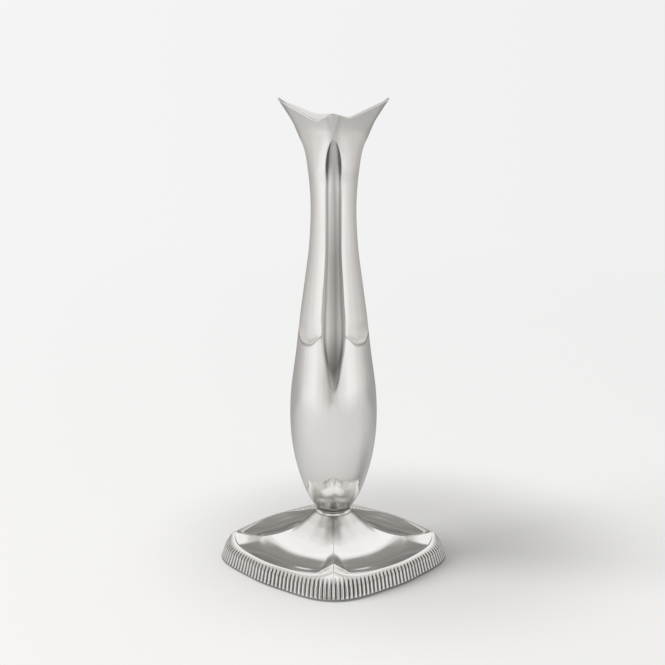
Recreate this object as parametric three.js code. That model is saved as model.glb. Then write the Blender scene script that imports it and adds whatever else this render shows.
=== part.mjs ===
// Orchid vase: a fluted, flaring body on a square, scooped foot with a reeded border.
// Millimetres, +Z up. The origin is the middle of the underside, and a corner of the foot faces -Y.

import * as THREE from "three";

// Driving dimensions, in millimetres and degrees

const WALL = 1.2; // body wall, measured outwards from the axis
const JOINT_GAP = 0.3; // clearance between pieces that touch on the real object

// Shell of the body, round up to the mouth: [height, radius on a corner]
const SHELL = [
  [26.5, 7.9], [31, 11.3], [39.5, 15.25], [52, 18.95], [64, 20.9], [77, 21.6], [89, 20.9], [104, 19.3],
  [114, 18.5], [120, 17.95], [126.5, 17.15], [133, 16.15], [140, 15.15], [150, 14], [159, 13], [169, 12.2],
  [178, 11.95], [190, 12.3], [197, 13], [203, 13.85], [207, 14.85], [211.5, 16.3], [215, 17.75],
  [219, 19.55], [223.5, 22.35], [230, 26.65],
];
const ROUND_TOP = 190; // above it the shell turns from round to square

// Shell in the mouth: [height, bend across a corner], where a bend below 0 rounds it
const SHELL_BEND = [
  [190, -0.041], [203, -0.04], [207, -0.055], [211.5, -0.085], [215, -0.12], [219, -0.16], [223.5, -0.145],
  [230, -0.09],
];

// Panels on the diagonals: [height, distance of their middle from the axis]
const PANEL = [
  [108, 21.3], [113, 19.7], [116.5, 18.5], [118, 17.75], [119.5, 17.3], [121.5, 17.05], [126.5, 16.6],
  [133, 15.65], [140, 14.7], [150, 13.2], [159, 12.1], [169, 11.55], [178, 11.4], [190, 11.9], [197, 12.55],
  [203, 12.85], [207, 13], [215, 13.5], [219, 14.75], [223.5, 17], [230, 20.8],
];

// Panels: [height, curvature across], 0 for a flat one
const PANEL_CROWN = [
  [114, 0.034], [126.5, 0.036], [140, 0.044], [159, 0.057], [178, 0.069], [190, 0.066], [197, 0.055],
  [203, 0.04], [207, 0.028], [215, 0.008], [219, 0.002], [223.5, 0],
];

// Flutes on the corners: [height, distance of their middle from the axis]
const FLUTE = [
  [88, 21.35], [92.3, 20.55], [96.6, 19.75], [102, 18.75], [109, 17.45], [114, 16.6], [120, 15.8],
  [126.5, 15.1], [133, 14.4], [140, 13.6], [150, 12.4], [159, 11.4], [169, 10.65], [178, 10.3], [190, 10.25],
  [197, 10.5], [201, 11], [205, 12.1], [208.5, 13.95], [211.7, 16.4], [214, 18.5],
];

// Flutes: [height, bend across], where a bend above 0 hollows them
const FLUTE_BEND = [[165, 0.037], [178, 0.045], [185, 0.06], [190, 0.085], [197, 0.11], [208, 0.15]];
const FLUTE_BOTTOM = 88;
const FLUTE_TOP = 213;
const VEE_TOP = 117; // where the edges of a flute stop running together
const PANEL_BOTTOM = 110;
const CUSP_HEIGHT = 119; // where the side of a panel turns into its rounded end
const PANEL_HANG = 2.3; // how far the end of a panel hangs down in its middle
const HANG_START = 118;
const HANG_END = 128;
const HANG_FLAT = 8; // degrees from the middle of a panel to where its end starts to rise
const HANG_ANGLE = 27;
const ARCH_FOOT = 203; // where a flute starts to close under the mouth
const NECK_START = 140;
const NECK_END = 190;

// Rim of the mouth: low points between high side tips and lower front and back peaks
const RIM_LOW = 221.05;
const RIM_TIP_RISE = 8.95;
const RIM_TIP_POWER = 1.7;
const FRONT_PEAK_RISE = 2.65;
const BACK_PEAK_RISE = 0.6;
const RIM_PEAK_POWER = 1.5;
const RIM_LOW_ANGLE = 66; // from the side tips
const RIM_TWIST = 0.9; // how far opposite quarters of the rim lean up and down

// Collar, and the plug in the bottom of the bulb
const COLLAR_RADIUS = 9;
const COLLAR_BORE = 6.7;
const COLLAR_BOTTOM = 24.9;
const COLLAR_EDGE = 25.3;
const COLLAR_TOP = 26.2;
const BOSS_RADIUS = 6.3;
const BOSS_BOTTOM = 24;
const BOSS_TOP = 31;
const BOSS_HOLE_TOP = 30;
const BOSS_CHAMFER = 0.6;

// Foot: cushion-square outlines with their corners on the axes
const FOOT_CORNER = 56.9;
const FOOT_SIDE = 49.8;
const KINK_CORNER = 54.8;
const KINK_SIDE = 48.4;
const CREST_CORNER = 50.2;
const CREST_SIDE = 45.8;
const CREST_CORNER_HEIGHT = 13.2;
const CREST_SIDE_HEIGHT = 9.95;
const CORNER_SHARPNESS = 1.69; // power that tightens an outline at its corners
const CREST_LIFT_POWER = 6; // how quickly the crest drops away from a corner
const HIP_POWER = 5; // how quickly a face drops away from its hip

// Foot dish: [radius, height] along a hip and along the middle of a face
const HIP = [
  [48.4, 12.4], [43, 11.4], [37, 10.7], [30, 11.6], [24, 13.5],
  [19, 16], [14, 20.3], [11.5, 22.8], [9.2, 24.6],
];
const FACE = [
  [44, 9.1], [40, 8.3], [34, 8.5], [27.5, 9.6], [22, 11.9],
  [17.5, 14.9], [13.5, 18.9], [11, 22.2], [9.2, 24.6],
];
const DISH_THICKNESS = 0.9;
const DISH_HOLE = 6.8; // clears the boss

// Reeded border
const REEDS_PER_SIDE = 36;
const REED_BUNCHING = 0.032; // how far the reeds draw together towards the corners
const REED_DEPTH = 0.6;
const REED_FADE = 0.75; // share of the roll that the reeds run up
const BORDER_BOTTOM = 0.5;
const BORDER_KINK = 7.1; // height where the upright band starts to roll over
const ROLL_FULLNESS = 0.3; // how far the roll bulges: 0 is a plain slope, 1 a quarter round
const BORDER_THICKNESS = 1.5;
const CREST_WIDTH = 1.4;
const CREST_DROP = 0.5;
const CREST_THICKNESS = 1;
const ROLL_SHARES = [0.35, REED_FADE, 1];

// Underside
const FELT_THICKNESS = 0.9;
const FELT_INSET = 2.9;
const PLATE_BOTTOM = FELT_THICKNESS + JOINT_GAP;
const PLATE_THICKNESS = 0.8;
const PLATE_INSET = 2.4;
const FILLER_BOTTOM = PLATE_BOTTOM + PLATE_THICKNESS + JOINT_GAP;
const FILLER_SHOULDER = 6.2;
const FILLER_GAP = 0.4;

// Stud, nut and washer
const STUD_RADIUS = 2.5;
const STUD_BOTTOM = 2.6;
const STUD_TOP = BOSS_HOLE_TOP - JOINT_GAP;
const STUD_CHAMFER = 0.5;
const STUD_CLEARANCE = STUD_RADIUS + JOINT_GAP;
const NUT_ACROSS_FLATS = 8;
const NUT_HEIGHT = 4;
const NUT_BOTTOM = 3.2;
const WASHER_RADIUS = 9;
const WASHER_THICKNESS = 1.2;
const WASHER_BOTTOM = NUT_BOTTOM + NUT_HEIGHT + JOINT_GAP;
const POCKET_RADIUS = 10;
const POCKET_TOP = WASHER_BOTTOM + WASHER_THICKNESS + JOINT_GAP;

// Mesh fineness
const FLUTE_STEPS = 3; // columns from the middle of a flute to its edge
const SHELL_STEPS = 1; // columns of shell between a flute and a panel
const PANEL_STEPS = 2; // columns from the edge of a panel to its middle
const BODY_STRETCHES = [10, 6, 5, 5, 5]; // rows up to the cuts, the neck, its end, the arches and the rim
const ROW_CROWDING = 1.5; // power that draws rows together where the body bends most
const SEARCH_STEPS = 40;
const FACE_STEPS = 5; // columns from a hip to the middle of a face
const ROUND_STEPS = 32; // sides of a turned piece
const HIP_CROWDING = 1.5; // power that draws the columns of the foot towards its hips
const OUTLINE_STEPS = 64; // sides of a flat sheet under the foot

const SILVER = { color: 0xd0ccc8, roughness: 0.16, metalness: 1 };
const BRASS = { color: 0xb5934f, roughness: 0.4, metalness: 1 };
const STEEL = { color: 0x8f8f8f, roughness: 0.45, metalness: 1 };
const PLASTER = { color: 0xb9b2a3, roughness: 0.9, metalness: 0 };
const FELT = { color: 0x2d3a30, roughness: 1, metalness: 0 };

const { clamp, degToRad, radToDeg, smoothstep } = THREE.MathUtils;
const QUARTER_TURN = Math.PI / 2;
const EIGHTH_TURN = Math.PI / 4;
const LEAST_GAP = degToRad(0.6); // between the edges of a flute and a panel that meet
const vase = new THREE.Group();

function addPiece(name, geometry, finish) {
  const piece = new THREE.Mesh(geometry, new THREE.MeshStandardMaterial(finish));
  piece.name = name;
  vase.add(piece);
}

// Shared helpers

// Smooth curve through points [at, value], flat beyond its ends
function curveThrough(points) {
  const slopes = points.map((point, i) => {
    const before = points[Math.max(i - 1, 0)];
    const after = points[Math.min(i + 1, points.length - 1)];
    return (after[1] - before[1]) / (after[0] - before[0]);
  });
  return (at) => {
    if (at <= points[0][0]) return points[0][1];
    if (at >= points.at(-1)[0]) return points.at(-1)[1];
    const i = points.findIndex((point) => point[0] > at) - 1;
    const step = points[i + 1][0] - points[i][0];
    const rise = points[i + 1][1] - points[i][1];
    const t = (at - points[i][0]) / step;
    const bend = (1 - t) * (slopes[i] * step - rise) - t * (slopes[i + 1] * step - rise);
    return points[i][1] + t * rise + t * (1 - t) * bend;
  };
}

// Angle to the nearest corner: 0 on a corner, an eighth of a turn in the middle of a side
function fromCorner(angle) {
  const turned = ((angle % QUARTER_TURN) + QUARTER_TURN) % QUARTER_TURN;
  return Math.min(turned, QUARTER_TURN - turned);
}

function polar(radius, angle, height) {
  return [radius * Math.cos(angle), radius * Math.sin(angle), height];
}

// One closed solid from sections that follow each other anticlockwise seen from above. Each section is a
// loop of points up the outside and down the inside. Open ends are closed by pairing outside with inside.
function sweptSolid(sections, goesRound) {
  const size = sections[0].length;
  const at = (s, i) => (s % sections.length) * size + (i % size);
  const index = [];
  const quad = (a, b, c, d) => index.push(a, b, c, a, c, d);
  const spans = goesRound ? sections.length : sections.length - 1;
  for (let s = 0; s < spans; s += 1) {
    for (let i = 0; i < size; i += 1) {
      quad(at(s, i), at(s + 1, i), at(s + 1, i + 1), at(s, i + 1));
    }
  }
  for (let i = 0; i < size / 2 - 1 && !goesRound; i += 1) {
    const inside = size - 1 - i;
    const last = sections.length - 1;
    quad(at(0, inside), at(0, i), at(0, i + 1), at(0, inside - 1));
    quad(at(last, i), at(last, inside), at(last, inside - 1), at(last, i + 1));
  }
  const geometry = new THREE.BufferGeometry();
  geometry.setAttribute("position", new THREE.Float32BufferAttribute(sections.flat(2), 3));
  geometry.setIndex(index);
  geometry.computeVertexNormals();
  return geometry;
}

// Solid of revolution about Z from [radius, height] points, up the outside and down the inside
function turned(outline) {
  const points = outline.map(([radius, height]) => new THREE.Vector2(radius, height));
  return new THREE.LatheGeometry(points, ROUND_STEPS).rotateX(QUARTER_TURN);
}

// Body: a shell, cut by four panels on the diagonals and by a flute on each corner

const shellRadius = curveThrough(SHELL);
const shellBend = curveThrough(SHELL_BEND);
const panelDistance = curveThrough(PANEL);
const panelCrown = curveThrough(PANEL_CROWN);
const fluteDistance = curveThrough(FLUTE);
const fluteBend = curveThrough(FLUTE_BEND);

// Radius of a line across a corner, hollow or rounded
function bowedLine(off, middle, bend) {
  const inside = Math.cos(off) ** 2 - 4 * bend * middle * Math.sin(off) ** 2;
  return (2 * middle) / (Math.cos(off) + Math.sqrt(Math.max(0, inside)));
}

function fluteRadius(off, z) {
  return bowedLine(off, fluteDistance(z), fluteBend(z));
}

// Radius of a panel, an arc that is flatter than the round shell
function panelRadius(off, z) {
  const fromMiddle = radToDeg(Math.abs(EIGHTH_TURN - off));
  const hang = PANEL_HANG * (1 - smoothstep(z, HANG_START, HANG_END));
  const middle = panelDistance(z + hang * (1 - smoothstep(fromMiddle, HANG_FLAT, HANG_ANGLE)));
  const crown = panelCrown(z) * middle;
  const ahead = (1 - crown) * Math.cos(EIGHTH_TURN - off);
  return (middle * (2 - crown)) / (ahead + Math.sqrt(ahead * ahead + crown * (2 - crown)));
}

// Radius of the shell with its panels, before the flutes are cut
function outerRadius(off, z) {
  const panel = panelRadius(off, z);
  if (z < ROUND_TOP) return Math.min(shellRadius(z), panel);
  const bend = shellBend(z);
  const pastCorner = panel * Math.sin(off) > -0.5 / bend;
  return pastCorner ? panel : Math.min(panel, bowedLine(off, shellRadius(z), bend));
}

function bodyRadius(angle, z) {
  const off = fromCorner(angle);
  const outer = outerRadius(off, z);
  return z < FLUTE_TOP ? Math.min(outer, fluteRadius(off, z)) : outer;
}

// Place between low and high up to which holds(place) is true
function crossing(low, high, holds) {
  let below = low;
  let above = high;
  for (let i = 0; i < SEARCH_STEPS; i += 1) {
    const middle = (below + above) / 2;
    if (holds(middle)) below = middle;
    else above = middle;
  }
  return below;
}

// Angle from the middle of a flute to its edge
function fluteEdge(height) {
  const z = clamp(height, VEE_TOP, ARCH_FOOT);
  const inFlute = (off) => fluteRadius(off, z) < Math.min(shellRadius(z), panelRadius(off, z));
  return crossing(0, EIGHTH_TURN, inFlute);
}

// Angle from the middle of a flute to the edge of the panel beside it
function panelEdge(height) {
  const z = clamp(height, CUSP_HEIGHT, ARCH_FOOT);
  return crossing(fluteEdge(z) + LEAST_GAP, EIGHTH_TURN, (off) => shellRadius(z) < panelRadius(off, z));
}

function rimHeight(angle) {
  const turned = ((angle % Math.PI) + Math.PI) % Math.PI;
  const fromTip = radToDeg(Math.min(turned, Math.PI - turned));
  const low = RIM_LOW - RIM_TWIST * Math.sin(2 * angle);
  if (fromTip < RIM_LOW_ANGLE) {
    return low + RIM_TIP_RISE * (1 - fromTip / RIM_LOW_ANGLE) ** RIM_TIP_POWER;
  }
  const peak = Math.sin(angle) < 0 ? FRONT_PEAK_RISE : BACK_PEAK_RISE;
  return low + peak * ((fromTip - RIM_LOW_ANGLE) / (90 - RIM_LOW_ANGLE)) ** RIM_PEAK_POWER;
}

const PANEL_START = FLUTE_STEPS + SHELL_STEPS;
const COLUMNS_PER_CORNER = 2 * (PANEL_START + PANEL_STEPS);

// Columns follow the edges of the flutes and panels, so that these stay sharp
function columnAngle(column, z) {
  const corner = Math.round(column / COLUMNS_PER_CORNER);
  const step = column - corner * COLUMNS_PER_CORNER;
  const count = Math.abs(step);
  const flute = fluteEdge(z);
  const panel = panelEdge(z);
  let off = (flute * count) / FLUTE_STEPS;
  if (count > PANEL_START) off = panel + ((EIGHTH_TURN - panel) * (count - PANEL_START)) / PANEL_STEPS;
  else if (count > FLUTE_STEPS) off = flute + ((panel - flute) * (count - FLUTE_STEPS)) / SHELL_STEPS;
  return corner * QUARTER_TURN + Math.sign(step) * off;
}

// Height at which the flute or panel on a column leaves the bulb
function footOfCut(count) {
  if (count >= PANEL_START) {
    const overShell = (z) => panelRadius(columnAngle(count, z), z) > shellRadius(z);
    return crossing(PANEL_BOTTOM, CUSP_HEIGHT, overShell);
  }
  return crossing(FLUTE_BOTTOM, VEE_TOP, (z) => fluteRadius(columnAngle(count, z), z) > shellRadius(z));
}

// Height at which the flute on a column runs out under the mouth
function topOfCut(count) {
  if (count > FLUTE_STEPS) return ARCH_FOOT;
  const inFlute = (z) => fluteRadius(columnAngle(count, z), z) < outerRadius(columnAngle(count, z), z);
  return crossing(ARCH_FOOT, FLUTE_TOP, inFlute);
}

// Heights of the rows on a column: one row follows the lower edges of the cuts and one the arches
function rowHeights(column) {
  const count = Math.abs(column - COLUMNS_PER_CORNER * Math.round(column / COLUMNS_PER_CORNER));
  const rim = rimHeight(columnAngle(column, RIM_LOW));
  const stops = [SHELL[0][0], footOfCut(count), NECK_START, NECK_END, topOfCut(count), rim];
  const heights = [stops[0]];
  BODY_STRETCHES.forEach((rows, i) => {
    for (let row = 1; row <= rows; row += 1) {
      const share = i < 2 ? (row / rows) ** ROW_CROWDING : row / rows;
      heights.push(stops[i] + (stops[i + 1] - stops[i]) * share);
    }
  });
  return heights;
}

function bodyColumn(column, inset, seamShift) {
  return rowHeights(column).map((z) => {
    const angle = columnAngle(column, z);
    const [x, y] = polar(bodyRadius(angle, z) - inset, angle, z);
    return [x, y + seamShift, z];
  });
}

function bodyHalf(firstColumn, side) {
  const shift = (side * JOINT_GAP) / 2;
  const sections = [];
  for (let c = firstColumn; c <= firstColumn + 2 * COLUMNS_PER_CORNER; c += 1) {
    sections.push([...bodyColumn(c, 0, shift), ...bodyColumn(c, WALL, shift).reverse()]);
  }
  return sweptSolid(sections, false);
}

addPiece("body_back_half", bodyHalf(0, 1), SILVER);
addPiece("body_front_half", bodyHalf(2 * COLUMNS_PER_CORNER, -1), SILVER);

addPiece("body_boss", turned([
  [0, BOSS_HOLE_TOP],
  [STUD_CLEARANCE, BOSS_HOLE_TOP],
  [STUD_CLEARANCE, BOSS_BOTTOM],
  [BOSS_RADIUS, BOSS_BOTTOM],
  [BOSS_RADIUS, BOSS_TOP - BOSS_CHAMFER],
  [BOSS_RADIUS - BOSS_CHAMFER, BOSS_TOP],
  [0, BOSS_TOP],
]), BRASS);

addPiece("collar_ring", turned([
  [COLLAR_BORE, COLLAR_BOTTOM],
  [COLLAR_RADIUS - JOINT_GAP, COLLAR_BOTTOM],
  [COLLAR_RADIUS, COLLAR_EDGE],
  [COLLAR_RADIUS - JOINT_GAP, COLLAR_EDGE + JOINT_GAP],
  [SHELL[0][1], COLLAR_TOP],
  [COLLAR_BORE, COLLAR_TOP],
  [COLLAR_BORE, COLLAR_BOTTOM],
]), SILVER);

// Foot: outlines that run from a corner value to a side value

function outlineRadius(angle, corner, side) {
  const share = ((1 + Math.cos(4 * angle)) / 2) ** CORNER_SHARPNESS;
  return side + (corner - side) * share;
}

function liftedHeight(angle, corner, side, power) {
  const share = (1 - fromCorner(angle) / EIGHTH_TURN) ** power;
  return side + (corner - side) * share;
}

const crestRadius = (angle) => outlineRadius(angle, CREST_CORNER, CREST_SIDE);
const kinkRadius = (angle) => outlineRadius(angle, KINK_CORNER, KINK_SIDE);
const footRadius = (angle) => outlineRadius(angle, FOOT_CORNER, FOOT_SIDE);
const crestHeight = (angle) => liftedHeight(angle, CREST_CORNER_HEIGHT, CREST_SIDE_HEIGHT, CREST_LIFT_POWER);

function dishPoint(angle, row, drop) {
  const radius = outlineRadius(angle, HIP[row][0], FACE[row][0]);
  return polar(radius, angle, liftedHeight(angle, HIP[row][1], FACE[row][1], HIP_POWER) - drop);
}

// Angles round the foot, closer together beside the hips
function footAngles() {
  const angles = [];
  const perCorner = 2 * FACE_STEPS;
  for (let i = 0; i < 4 * perCorner; i += 1) {
    const corner = Math.round(i / perCorner);
    const step = i - corner * perCorner;
    const off = EIGHTH_TURN * (Math.abs(step) / FACE_STEPS) ** HIP_CROWDING;
    angles.push(corner * QUARTER_TURN + Math.sign(step) * off);
  }
  return angles;
}

function dishSection(angle) {
  const top = HIP.map((_, row) => dishPoint(angle, row, 0));
  const under = HIP.map((_, row) => dishPoint(angle, row, DISH_THICKNESS)).reverse();
  const hole = [
    polar(DISH_HOLE, angle, HIP.at(-1)[1]),
    polar(DISH_HOLE, angle, HIP.at(-1)[1] - DISH_THICKNESS),
  ];
  return [...top, ...hole, ...under];
}

addPiece("foot_dish", sweptSolid(footAngles().map(dishSection), true), SILVER);

// Border: a leaning band that rolls over to the crest, with reeds on the band and up the roll

// Point [radius, height] on a roll from its start to its end, at a share of its length
function rollPoint(start, end, share) {
  const rest = 1 - share;
  const bulge = end[0] + ROLL_FULLNESS * (start[0] - end[0]);
  const radius = rest * rest * start[0] + 2 * rest * share * bulge + share * share * end[0];
  return [radius, end[1] + rest * rest * (start[1] - end[1])];
}

function borderFace(angle, depth) {
  const kink = [kinkRadius(angle), BORDER_KINK];
  const crest = [crestRadius(angle), crestHeight(angle)];
  const roll = ROLL_SHARES.map((share) => {
    const cut = depth * Math.max(0, 1 - (share / REED_FADE) ** 2);
    const [radius, height] = rollPoint(kink, crest, share);
    return polar(radius - cut, angle, height - cut / 2);
  });
  return [
    polar(footRadius(angle) - depth, angle, BORDER_BOTTOM),
    polar(kink[0] - depth, angle, BORDER_KINK),
    ...roll,
    polar(crest[0] - CREST_WIDTH, angle, crest[1] - CREST_DROP),
  ];
}

function borderBack(angle) {
  const kink = [kinkRadius(angle) - BORDER_THICKNESS, BORDER_KINK - CREST_DROP];
  const crest = [crestRadius(angle) - JOINT_GAP, crestHeight(angle) - CREST_THICKNESS];
  const roll = ROLL_SHARES.map((share) => {
    const [radius, height] = rollPoint(kink, crest, share);
    return polar(radius, angle, height);
  });
  return [
    polar(footRadius(angle) - BORDER_THICKNESS, angle, BORDER_BOTTOM),
    polar(kink[0], angle, kink[1]),
    ...roll,
    polar(crestRadius(angle) - CREST_WIDTH, angle, crest[1] - CREST_DROP),
  ];
}

// One length of border from one corner to the next, moved out a little so that the mitres stay apart
function borderLength(firstAngle) {
  const sections = [];
  for (let i = 0; i <= 2 * REEDS_PER_SIDE; i += 1) {
    const share = i / (2 * REEDS_PER_SIDE);
    const angle = firstAngle + QUARTER_TURN * share - REED_BUNCHING * Math.sin(2 * Math.PI * share);
    const groove = i % 2 === 1 ? REED_DEPTH : 0;
    sections.push([...borderFace(angle, groove), ...borderBack(angle).reverse()]);
  }
  const middle = firstAngle + EIGHTH_TURN;
  const shift = JOINT_GAP / Math.SQRT2;
  return sweptSolid(sections, false).translate(shift * Math.cos(middle), shift * Math.sin(middle), 0);
}

["back_right", "back_left", "front_left", "front_right"].forEach((place, i) => {
  addPiece(`border_${place}`, borderLength(i * QUARTER_TURN), SILVER);
});

// Inside and under the foot

function fillerSection(angle) {
  const wallGap = BORDER_THICKNESS + FILLER_GAP;
  const crestGap = CREST_THICKNESS + 2 * FILLER_GAP;
  const underDish = HIP.slice(1).map((_, i) => dishPoint(angle, i + 1, DISH_THICKNESS + FILLER_GAP));
  const neckTop = HIP.at(-1)[1] - DISH_THICKNESS - FILLER_GAP;
  return [
    polar(footRadius(angle) - PLATE_INSET, angle, FILLER_BOTTOM),
    polar(kinkRadius(angle) - wallGap, angle, FILLER_SHOULDER),
    polar(crestRadius(angle) - 2 * FILLER_GAP, angle, crestHeight(angle) - crestGap),
    ...underDish,
    polar(STUD_CLEARANCE, angle, neckTop),
    polar(STUD_CLEARANCE, angle, POCKET_TOP),
    polar(POCKET_RADIUS, angle, POCKET_TOP),
    polar(POCKET_RADIUS, angle, FILLER_BOTTOM),
  ];
}

addPiece("foot_filler", sweptSolid(footAngles().map(fillerSection), true), PLASTER);

function flatSheet(inset, bottom, thickness) {
  const points = [];
  for (let i = 0; i < OUTLINE_STEPS; i += 1) {
    const angle = (2 * Math.PI * i) / OUTLINE_STEPS;
    const [x, y] = polar(footRadius(angle) - inset, angle, 0);
    points.push(new THREE.Vector2(x, y));
  }
  const sheet = new THREE.ExtrudeGeometry(new THREE.Shape(points), { depth: thickness, bevelEnabled: false });
  return sheet.translate(0, 0, bottom);
}

addPiece("base_plate", flatSheet(PLATE_INSET, PLATE_BOTTOM, PLATE_THICKNESS), BRASS);
addPiece("felt_pad", flatSheet(FELT_INSET, 0, FELT_THICKNESS), FELT);

addPiece("fixing_stud", turned([
  [0, STUD_BOTTOM],
  [STUD_RADIUS - STUD_CHAMFER, STUD_BOTTOM],
  [STUD_RADIUS, STUD_BOTTOM + STUD_CHAMFER],
  [STUD_RADIUS, STUD_TOP - STUD_CHAMFER],
  [STUD_RADIUS - STUD_CHAMFER, STUD_TOP],
  [0, STUD_TOP],
]), STEEL);

addPiece("clamp_washer", turned([
  [STUD_CLEARANCE, WASHER_BOTTOM],
  [WASHER_RADIUS, WASHER_BOTTOM],
  [WASHER_RADIUS, WASHER_BOTTOM + WASHER_THICKNESS],
  [STUD_CLEARANCE, WASHER_BOTTOM + WASHER_THICKNESS],
  [STUD_CLEARANCE, WASHER_BOTTOM],
]), STEEL);

function hexNut() {
  const corners = [];
  const reach = NUT_ACROSS_FLATS / Math.sqrt(3);
  for (let i = 0; i < 6; i += 1) {
    const [x, y] = polar(reach, (i * Math.PI) / 3, 0);
    corners.push(new THREE.Vector2(x, y));
  }
  const hexagon = new THREE.Shape(corners);
  hexagon.holes.push(new THREE.Path().absarc(0, 0, STUD_CLEARANCE, 0, 2 * Math.PI, true));
  const settings = { depth: NUT_HEIGHT, bevelEnabled: false, curveSegments: ROUND_STEPS };
  return new THREE.ExtrudeGeometry(hexagon, settings).translate(0, 0, NUT_BOTTOM);
}

addPiece("clamp_nut", hexNut(), STEEL);

export default vase;
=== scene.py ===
# %% [markdown]
# # An orchid vase in polished silver
# The vase holds one stem. A hollow round body with four crowned panels and four flutes flares into a mouth
# with two pointed tips, and it stands on a cushion-square foot with scooped faces and a reeded border. The
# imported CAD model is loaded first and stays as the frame. The pieces made here stand for its nodes, in the
# same place and at the same size, with finer curves and real finishes.

# %% Load the frame
import bisect
import math

import bmesh
import bpy
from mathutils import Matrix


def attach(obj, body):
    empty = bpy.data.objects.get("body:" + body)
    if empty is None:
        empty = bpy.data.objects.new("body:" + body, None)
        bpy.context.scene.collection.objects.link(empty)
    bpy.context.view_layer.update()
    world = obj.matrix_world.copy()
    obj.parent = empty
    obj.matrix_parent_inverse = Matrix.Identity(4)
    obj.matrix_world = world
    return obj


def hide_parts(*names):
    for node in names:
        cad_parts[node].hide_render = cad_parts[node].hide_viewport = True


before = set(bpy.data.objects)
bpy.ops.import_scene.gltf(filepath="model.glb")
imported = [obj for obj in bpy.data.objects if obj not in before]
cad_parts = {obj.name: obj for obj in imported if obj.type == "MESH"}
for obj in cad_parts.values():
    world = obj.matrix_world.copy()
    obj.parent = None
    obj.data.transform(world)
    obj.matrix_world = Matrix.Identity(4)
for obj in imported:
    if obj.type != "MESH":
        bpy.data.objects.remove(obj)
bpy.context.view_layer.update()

MM = 0.001
print("CAD nodes:", ", ".join(sorted(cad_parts)))

# %% [markdown]
# ## Camera
# The photograph was taken from a little above, with one corner of the foot towards the lens. Lines that
# are level on the vase, such as the foot's border, give the height and the tilt of the camera, and the
# foot's near and far corners give its distance. A long lens at 0.67 m fits both.

# %% Make the camera
PHOTO_PIXELS = 665
FOCAL_PIXELS = 1300
SENSOR_WIDTH = 36
CAMERA_PLACE = (-0.0005, -0.6237, 0.2521)
CAMERA_TILT = 12.26

scene = bpy.context.scene
camera_data = bpy.data.cameras.new("photo_camera")
camera_data.sensor_width = SENSOR_WIDTH
camera_data.lens = SENSOR_WIDTH * FOCAL_PIXELS / PHOTO_PIXELS
camera = bpy.data.objects.new("photo_camera", camera_data)
camera.location = CAMERA_PLACE
camera.rotation_euler = (math.radians(90 - CAMERA_TILT), 0, 0)
scene.collection.objects.link(camera)
scene.camera = camera
scene.view_settings.view_transform = "Standard"
print(f"camera: {camera_data.lens:.1f} mm lens, tilted {CAMERA_TILT} degrees down")

# %% [markdown]
# ## Tools for shaping sheet metal
# A silversmith draws a profile and lets the metal follow it, so the first tool is a smooth curve through a
# few measured points. The second is the blank: a straight wall of four edges is cut into rows and spun
# about the axis into a ring with a front, a top, a back and a bottom. Each piece below then gives every
# point of its blank a place, as a smith raises and chases a spun blank into its final form. It could also be
# sculpted, or cut with booleans, but these leave ragged edges in a mirror finish, where every edge shows.

# %% Smooth curves
def curve_through(points):
    """Smooth curve through points (at, value), flat beyond its ends."""
    places = [at for at, _ in points]
    values = [value for _, value in points]
    last = len(points) - 1
    slopes = []
    for i in range(len(points)):
        before, after = max(i - 1, 0), min(i + 1, last)
        slopes.append((values[after] - values[before]) / (places[after] - places[before]))

    def value_at(at):
        if at <= places[0]:
            return values[0]
        if at >= places[last]:
            return values[last]
        i = bisect.bisect_right(places, at) - 1
        step = places[i + 1] - places[i]
        rise = values[i + 1] - values[i]
        t = (at - places[i]) / step
        bend = (1 - t) * (slopes[i] * step - rise) - t * (slopes[i + 1] * step - rise)
        return values[i] + t * rise + t * (1 - t) * bend

    return value_at


def soft_min(a, b, width):
    """The lower of two values, rounded over where they are within a width of each other."""
    near = max(0.0, 1 - abs(a - b) / width)
    return min(a, b) - width * near * near / 4


def smooth_share(value, start, end):
    """Rises smoothly from 0 at start to 1 at end."""
    share = min(1, max(0, (value - start) / (end - start)))
    return share * share * (3 - 2 * share)


def smooth_fall(value, start, end):
    """Falls smoothly from 1 at start to 0 at end."""
    return 1 - smooth_share(value, start, end)


print("smooth rise after a quarter of its way:", smooth_share(1, 0, 4))

# %% Spun blanks
FULL_TURN = 2 * math.pi
QUARTER_TURN = math.pi / 2
EIGHTH_TURN = math.pi / 4
NEARLY = 0.0001
FRONT, TOP, BACK, BOTTOM = range(4)


def from_corner(angle):
    """Angle to the nearest corner of the vase. The corners lie on the X and Y axes."""
    turned = angle % QUARTER_TURN
    return min(turned, QUARTER_TURN - turned)


def corner_and_step(column, columns):
    """The corner nearest to a column, and the steps from there, with this many columns to a corner."""
    corner = math.floor(column / columns + 0.5)
    return corner, column - corner * columns


def shape_blank(blank, columns, turn, place):
    """Moves each point to place(column, wall, share). The share runs from 0 to 1 along each wall."""
    count = columns if turn == FULL_TURN else columns + 1
    for point in blank.verts:
        reach = math.hypot(point.co.x, point.co.y)
        turned = (math.atan2(point.co.y, point.co.x) + NEARLY) % FULL_TURN
        column = round(turned / turn * columns) % count
        if reach > 2 - NEARLY:
            wall, share = FRONT, point.co.z
        elif reach < 1 + NEARLY:
            wall, share = BACK, 1 - point.co.z
        elif point.co.z > 1 - NEARLY:
            wall, share = TOP, 2 - reach
        else:
            wall, share = BOTTOM, reach - 1
        radius, height, angle = place(column, wall, share)
        point.co = (radius * MM * math.cos(angle), radius * MM * math.sin(angle), height * MM)


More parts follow.
